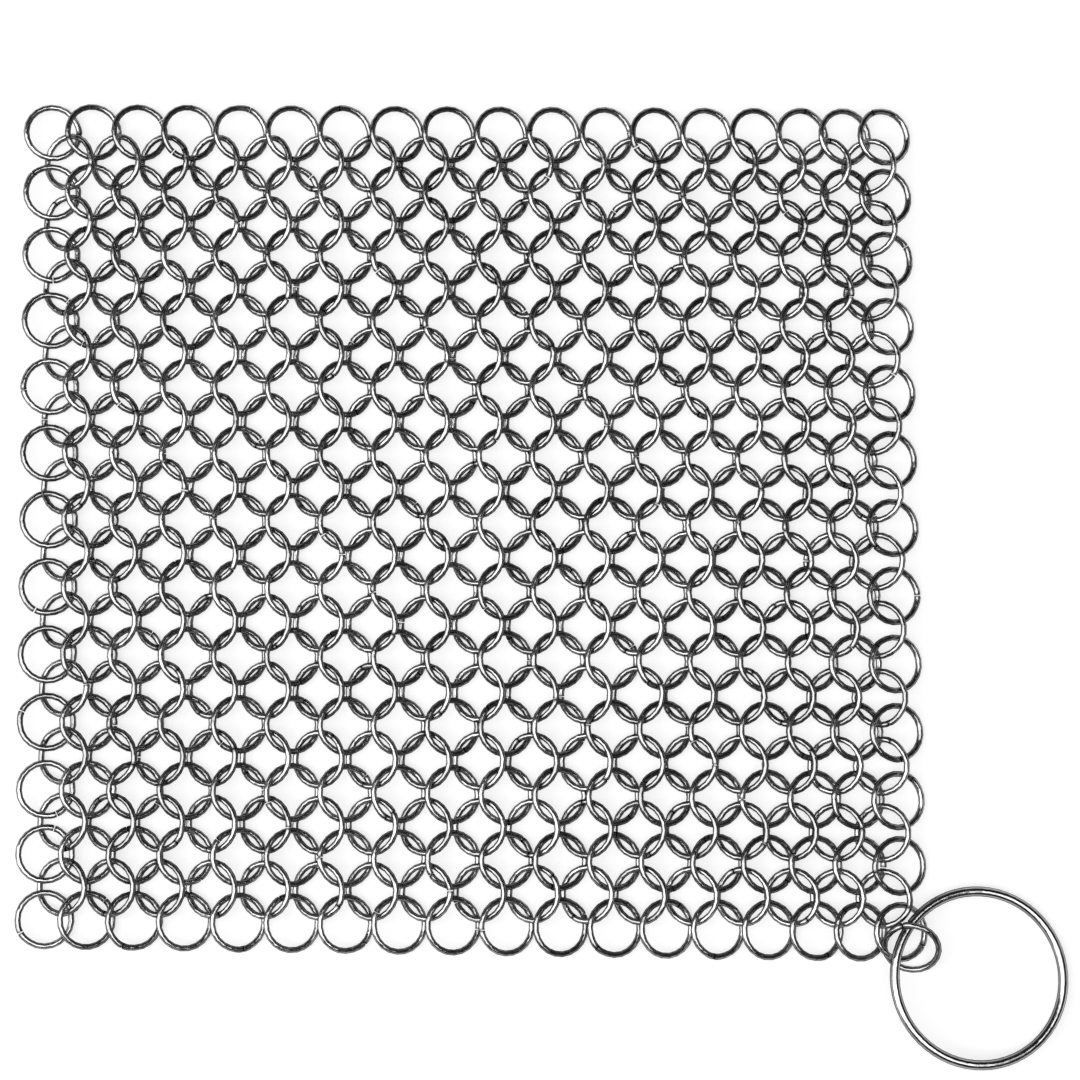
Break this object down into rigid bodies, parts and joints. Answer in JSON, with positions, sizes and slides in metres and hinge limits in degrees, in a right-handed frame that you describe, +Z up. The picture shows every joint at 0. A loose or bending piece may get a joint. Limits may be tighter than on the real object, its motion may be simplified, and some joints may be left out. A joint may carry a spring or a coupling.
{
  "type": "pot scrubber",
  "caption": "Square chain-mail scrubber of round steel wire rings woven four-in-one, lying flat, with a larger hanging ring through one corner.",
  "frame": {"origin": "on the table under the middle of the whole part's outline, hanging ring included", "axes": "+X along the rows towards the hanging ring's side, +Y along the columns towards the far edge, +Z up from the table"},
  "size_m": [0.1748, 0.165, 0.0063],
  "materials": {
    "ring_steel": "polished stainless wire",
    "hanging_steel": "polished stainless wire"
  },
  "bodies": {
    "ring_column_01": {"ring_column_01": "ring_steel"},
    "ring_column_02": {"ring_column_02": "ring_steel"},
    "ring_column_03": {"ring_column_03": "ring_steel"},
    "ring_column_04": {"ring_column_04": "ring_steel"},
    "ring_column_05": {"ring_column_05": "ring_steel"},
    "ring_column_06": {"ring_column_06": "ring_steel"},
    "ring_column_07": {"ring_column_07": "ring_steel"},
    "ring_column_08": {"ring_column_08": "ring_steel"},
    "ring_column_09": {"ring_column_09": "ring_steel"},
    "ring_column_10": {"ring_column_10": "ring_steel"},
    "ring_column_11": {"ring_column_11": "ring_steel"},
    "ring_column_12": {"ring_column_12": "ring_steel"},
    "ring_column_13": {"ring_column_13": "ring_steel"},
    "ring_column_14": {"ring_column_14": "ring_steel"},
    "ring_column_15": {"ring_column_15": "ring_steel"},
    "ring_column_16": {"ring_column_16": "ring_steel"},
    "ring_column_17": {"ring_column_17": "ring_steel"},
    "ring_column_18": {"ring_column_18": "ring_steel"},
    "ring_column_19": {"ring_column_19": "ring_steel"},
    "ring_column_20": {"ring_column_20": "ring_steel"},
    "ring_column_21": {"ring_column_21": "ring_steel"},
    "ring_column_22": {"ring_column_22": "ring_steel"},
    "ring_column_23": {"ring_column_23": "ring_steel"},
    "ring_column_24": {"ring_column_24": "ring_steel"},
    "ring_column_25": {"ring_column_25": "ring_steel"},
    "ring_column_26": {"ring_column_26": "ring_steel"},
    "ring_column_27": {"ring_column_27": "ring_steel"},
    "ring_column_28": {"ring_column_28": "ring_steel"},
    "ring_column_29": {"ring_column_29": "ring_steel"},
    "ring_column_30": {"ring_column_30": "ring_steel"},
    "ring_column_31": {"ring_column_31": "ring_steel"},
    "ring_column_32": {"ring_column_32": "ring_steel"},
    "ring_column_33": {"ring_column_33": "ring_steel"},
    "ring_column_34": {"ring_column_34": "ring_steel"},
    "ring_column_35": {"ring_column_35": "ring_steel"},
    "corner_ring": {"corner_ring": "ring_steel"},
    "hanging_ring": {"hanging_ring": "hanging_steel"}
  },
  "joints": [
    {"name": "fold_18_19", "type": "hinge", "parent": "ring_column_18", "child": "ring_column_19", "pos_m": [-0.00754, 0, 0.00325], "axis": [0, 1, 0], "range_deg": [-2, 40]},
    {"name": "fold_19_20", "type": "hinge", "parent": "ring_column_19", "child": "ring_column_20", "pos_m": [-0.00307, 0, 0.00135], "axis": [0, -1, 0], "range_deg": [-2, 40]},
    {"name": "fold_20_21", "type": "hinge", "parent": "ring_column_20", "child": "ring_column_21", "pos_m": [0.00141, 0, 0.00325], "axis": [0, 1, 0], "range_deg": [-2, 40]},
    {"name": "fold_21_22", "type": "hinge", "parent": "ring_column_21", "child": "ring_column_22", "pos_m": [0.00588, 0, 0.00135], "axis": [0, -1, 0], "range_deg": [-2, 40]},
    {"name": "fold_22_23", "type": "hinge", "parent": "ring_column_22", "child": "ring_column_23", "pos_m": [0.01036, 0, 0.00325], "axis": [0, 1, 0], "range_deg": [-2, 40]},
    {"name": "fold_23_24", "type": "hinge", "parent": "ring_column_23", "child": "ring_column_24", "pos_m": [0.01474, 0, 0.00139], "axis": [0, -1, 0], "range_deg": [-2, 40]},
    {"name": "fold_24_25", "type": "hinge", "parent": "ring_column_24", "child": "ring_column_25", "pos_m": [0.01904, 0, 0.00321], "axis": [0, 1, 0], "range_deg": [-2, 40]},
    {"name": "fold_25_26", "type": "hinge", "parent": "ring_column_25", "child": "ring_column_26", "pos_m": [0.02331, 0, 0.0014], "axis": [0, -1, 0], "range_deg": [-2, 40]},
    {"name": "fold_26_27", "type": "hinge", "parent": "ring_column_26", "child": "ring_column_27", "pos_m": [0.02756, 0, 0.0032], "axis": [0, 1, 0], "range_deg": [-2, 40]},
    {"name": "fold_27_28", "type": "hinge", "parent": "ring_column_27", "child": "ring_column_28", "pos_m": [0.03179, 0, 0.00141], "axis": [0, -1, 0], "range_deg": [-2, 40]},
    {"name": "fold_28_29", "type": "hinge", "parent": "ring_column_28", "child": "ring_column_29", "pos_m": [0.036, 0, 0.00319], "axis": [0, 1, 0], "range_deg": [-2, 40]},
    {"name": "fold_29_30", "type": "hinge", "parent": "ring_column_29", "child": "ring_column_30", "pos_m": [0.04007, 0, 0.00146], "axis": [0, -1, 0], "range_deg": [-2, 40]},
    {"name": "fold_30_31", "type": "hinge", "parent": "ring_column_30", "child": "ring_column_31", "pos_m": [0.04401, 0, 0.00313], "axis": [0, 1, 0], "range_deg": [-2, 40]},
    {"name": "fold_31_32", "type": "hinge", "parent": "ring_column_31", "child": "ring_column_32", "pos_m": [0.04779, 0, 0.00153], "axis": [0, -1, 0], "range_deg": [-2, 40]},
    {"name": "fold_32_33", "type": "hinge", "parent": "ring_column_32", "child": "ring_column_33", "pos_m": [0.05142, 0, 0.00307], "axis": [0, 1, 0], "range_deg": [-2, 40]},
    {"name": "fold_33_34", "type": "hinge", "parent": "ring_column_33", "child": "ring_column_34", "pos_m": [0.05522, 0, 0.00146], "axis": [0, -1, 0], "range_deg": [-2, 40]},
    {"name": "fold_34_35", "type": "hinge", "parent": "ring_column_34", "child": "ring_column_35", "pos_m": [0.05853, 0, 0.00286], "axis": [0, 1, 0], "range_deg": [-2, 40]},
    {"name": "fold_17_18", "type": "hinge", "parent": "ring_column_18", "child": "ring_column_17", "pos_m": [-0.01202, 0, 0.00135], "axis": [0, 1, 0], "range_deg": [-2, 40]},
    {"name": "fold_16_17", "type": "hinge", "parent": "ring_column_17", "child": "ring_column_16", "pos_m": [-0.01649, 0, 0.00325], "axis": [0, -1, 0], "range_deg": [-2, 40]},
    {"name": "fold_15_16", "type": "hinge", "parent": "ring_column_16", "child": "ring_column_15", "pos_m": [-0.02097, 0, 0.00135], "axis": [0, 1, 0], "range_deg": [-2, 40]},
    {"name": "fold_14_15", "type": "hinge", "parent": "ring_column_15", "child": "ring_column_14", "pos_m": [-0.02544, 0, 0.00325], "axis": [0, -1, 0], "range_deg": [-2, 40]},
    {"name": "fold_13_14", "type": "hinge", "parent": "ring_column_14", "child": "ring_column_13", "pos_m": [-0.02992, 0, 0.00135], "axis": [0, 1, 0], "range_deg": [-2, 40]},
    {"name": "fold_12_13", "type": "hinge", "parent": "ring_column_13", "child": "ring_column_12", "pos_m": [-0.03439, 0, 0.00325], "axis": [0, -1, 0], "range_deg": [-2, 40]},
    {"name": "fold_11_12", "type": "hinge", "parent": "ring_column_12", "child": "ring_column_11", "pos_m": [-0.03887, 0, 0.00135], "axis": [0, 1, 0], "range_deg": [-2, 40]},
    {"name": "fold_10_11", "type": "hinge", "parent": "ring_column_11", "child": "ring_column_10", "pos_m": [-0.04334, 0, 0.00325], "axis": [0, -1, 0], "range_deg": [-2, 40]},
    {"name": "fold_09_10", "type": "hinge", "parent": "ring_column_10", "child": "ring_column_09", "pos_m": [-0.04782, 0, 0.00135], "axis": [0, 1, 0], "range_deg": [-2, 40]},
    {"name": "fold_08_09", "type": "hinge", "parent": "ring_column_09", "child": "ring_column_08", "pos_m": [-0.05229, 0, 0.00325], "axis": [0, -1, 0], "range_deg": [-2, 40]},
    {"name": "fold_07_08", "type": "hinge", "parent": "ring_column_08", "child": "ring_column_07", "pos_m": [-0.05677, 0, 0.00135], "axis": [0, 1, 0], "range_deg": [-2, 40]},
    {"name": "fold_06_07", "type": "hinge", "parent": "ring_column_07", "child": "ring_column_06", "pos_m": [-0.06113, 0, 0.0032], "axis": [0, -1, 0], "range_deg": [-2, 40]},
    {"name": "fold_05_06", "type": "hinge", "parent": "ring_column_06", "child": "ring_column_05", "pos_m": [-0.06538, 0, 0.0014], "axis": [0, 1, 0], "range_deg": [-2, 40]},
    {"name": "fold_04_05", "type": "hinge", "parent": "ring_column_05", "child": "ring_column_04", "pos_m": [-0.0695, 0, 0.00314], "axis": [0, -1, 0], "range_deg": [-2, 40]},
    {"name": "fold_03_04", "type": "hinge", "parent": "ring_column_04", "child": "ring_column_03", "pos_m": [-0.07348, 0, 0.00145], "axis": [0, 1, 0], "range_deg": [-2, 40]},
    {"name": "fold_02_03", "type": "hinge", "parent": "ring_column_03", "child": "ring_column_02", "pos_m": [-0.07755, 0, 0.00318], "axis": [0, -1, 0], "range_deg": [-2, 40]},
    {"name": "fold_01_02", "type": "hinge", "parent": "ring_column_02", "child": "ring_column_01", "pos_m": [-0.08166, 0, 0.00144], "axis": [0, 1, 0], "range_deg": [-2, 40]},
    {"name": "corner_ring_swing", "type": "hinge", "parent": "ring_column_35", "child": "corner_ring", "pos_m": [0.05991, -0.06392, 0.00227], "axis": [0.9205, 0, -0.3907], "range_deg": [-4, 30]},
    {"name": "hanging_ring_swing", "type": "hinge", "parent": "corner_ring", "child": "hanging_ring", "pos_m": [0.06068, -0.06062, 0.00419], "axis": [-0.4874, -0.8636, 0.1294], "range_deg": [-60, 120]}
  ]
}
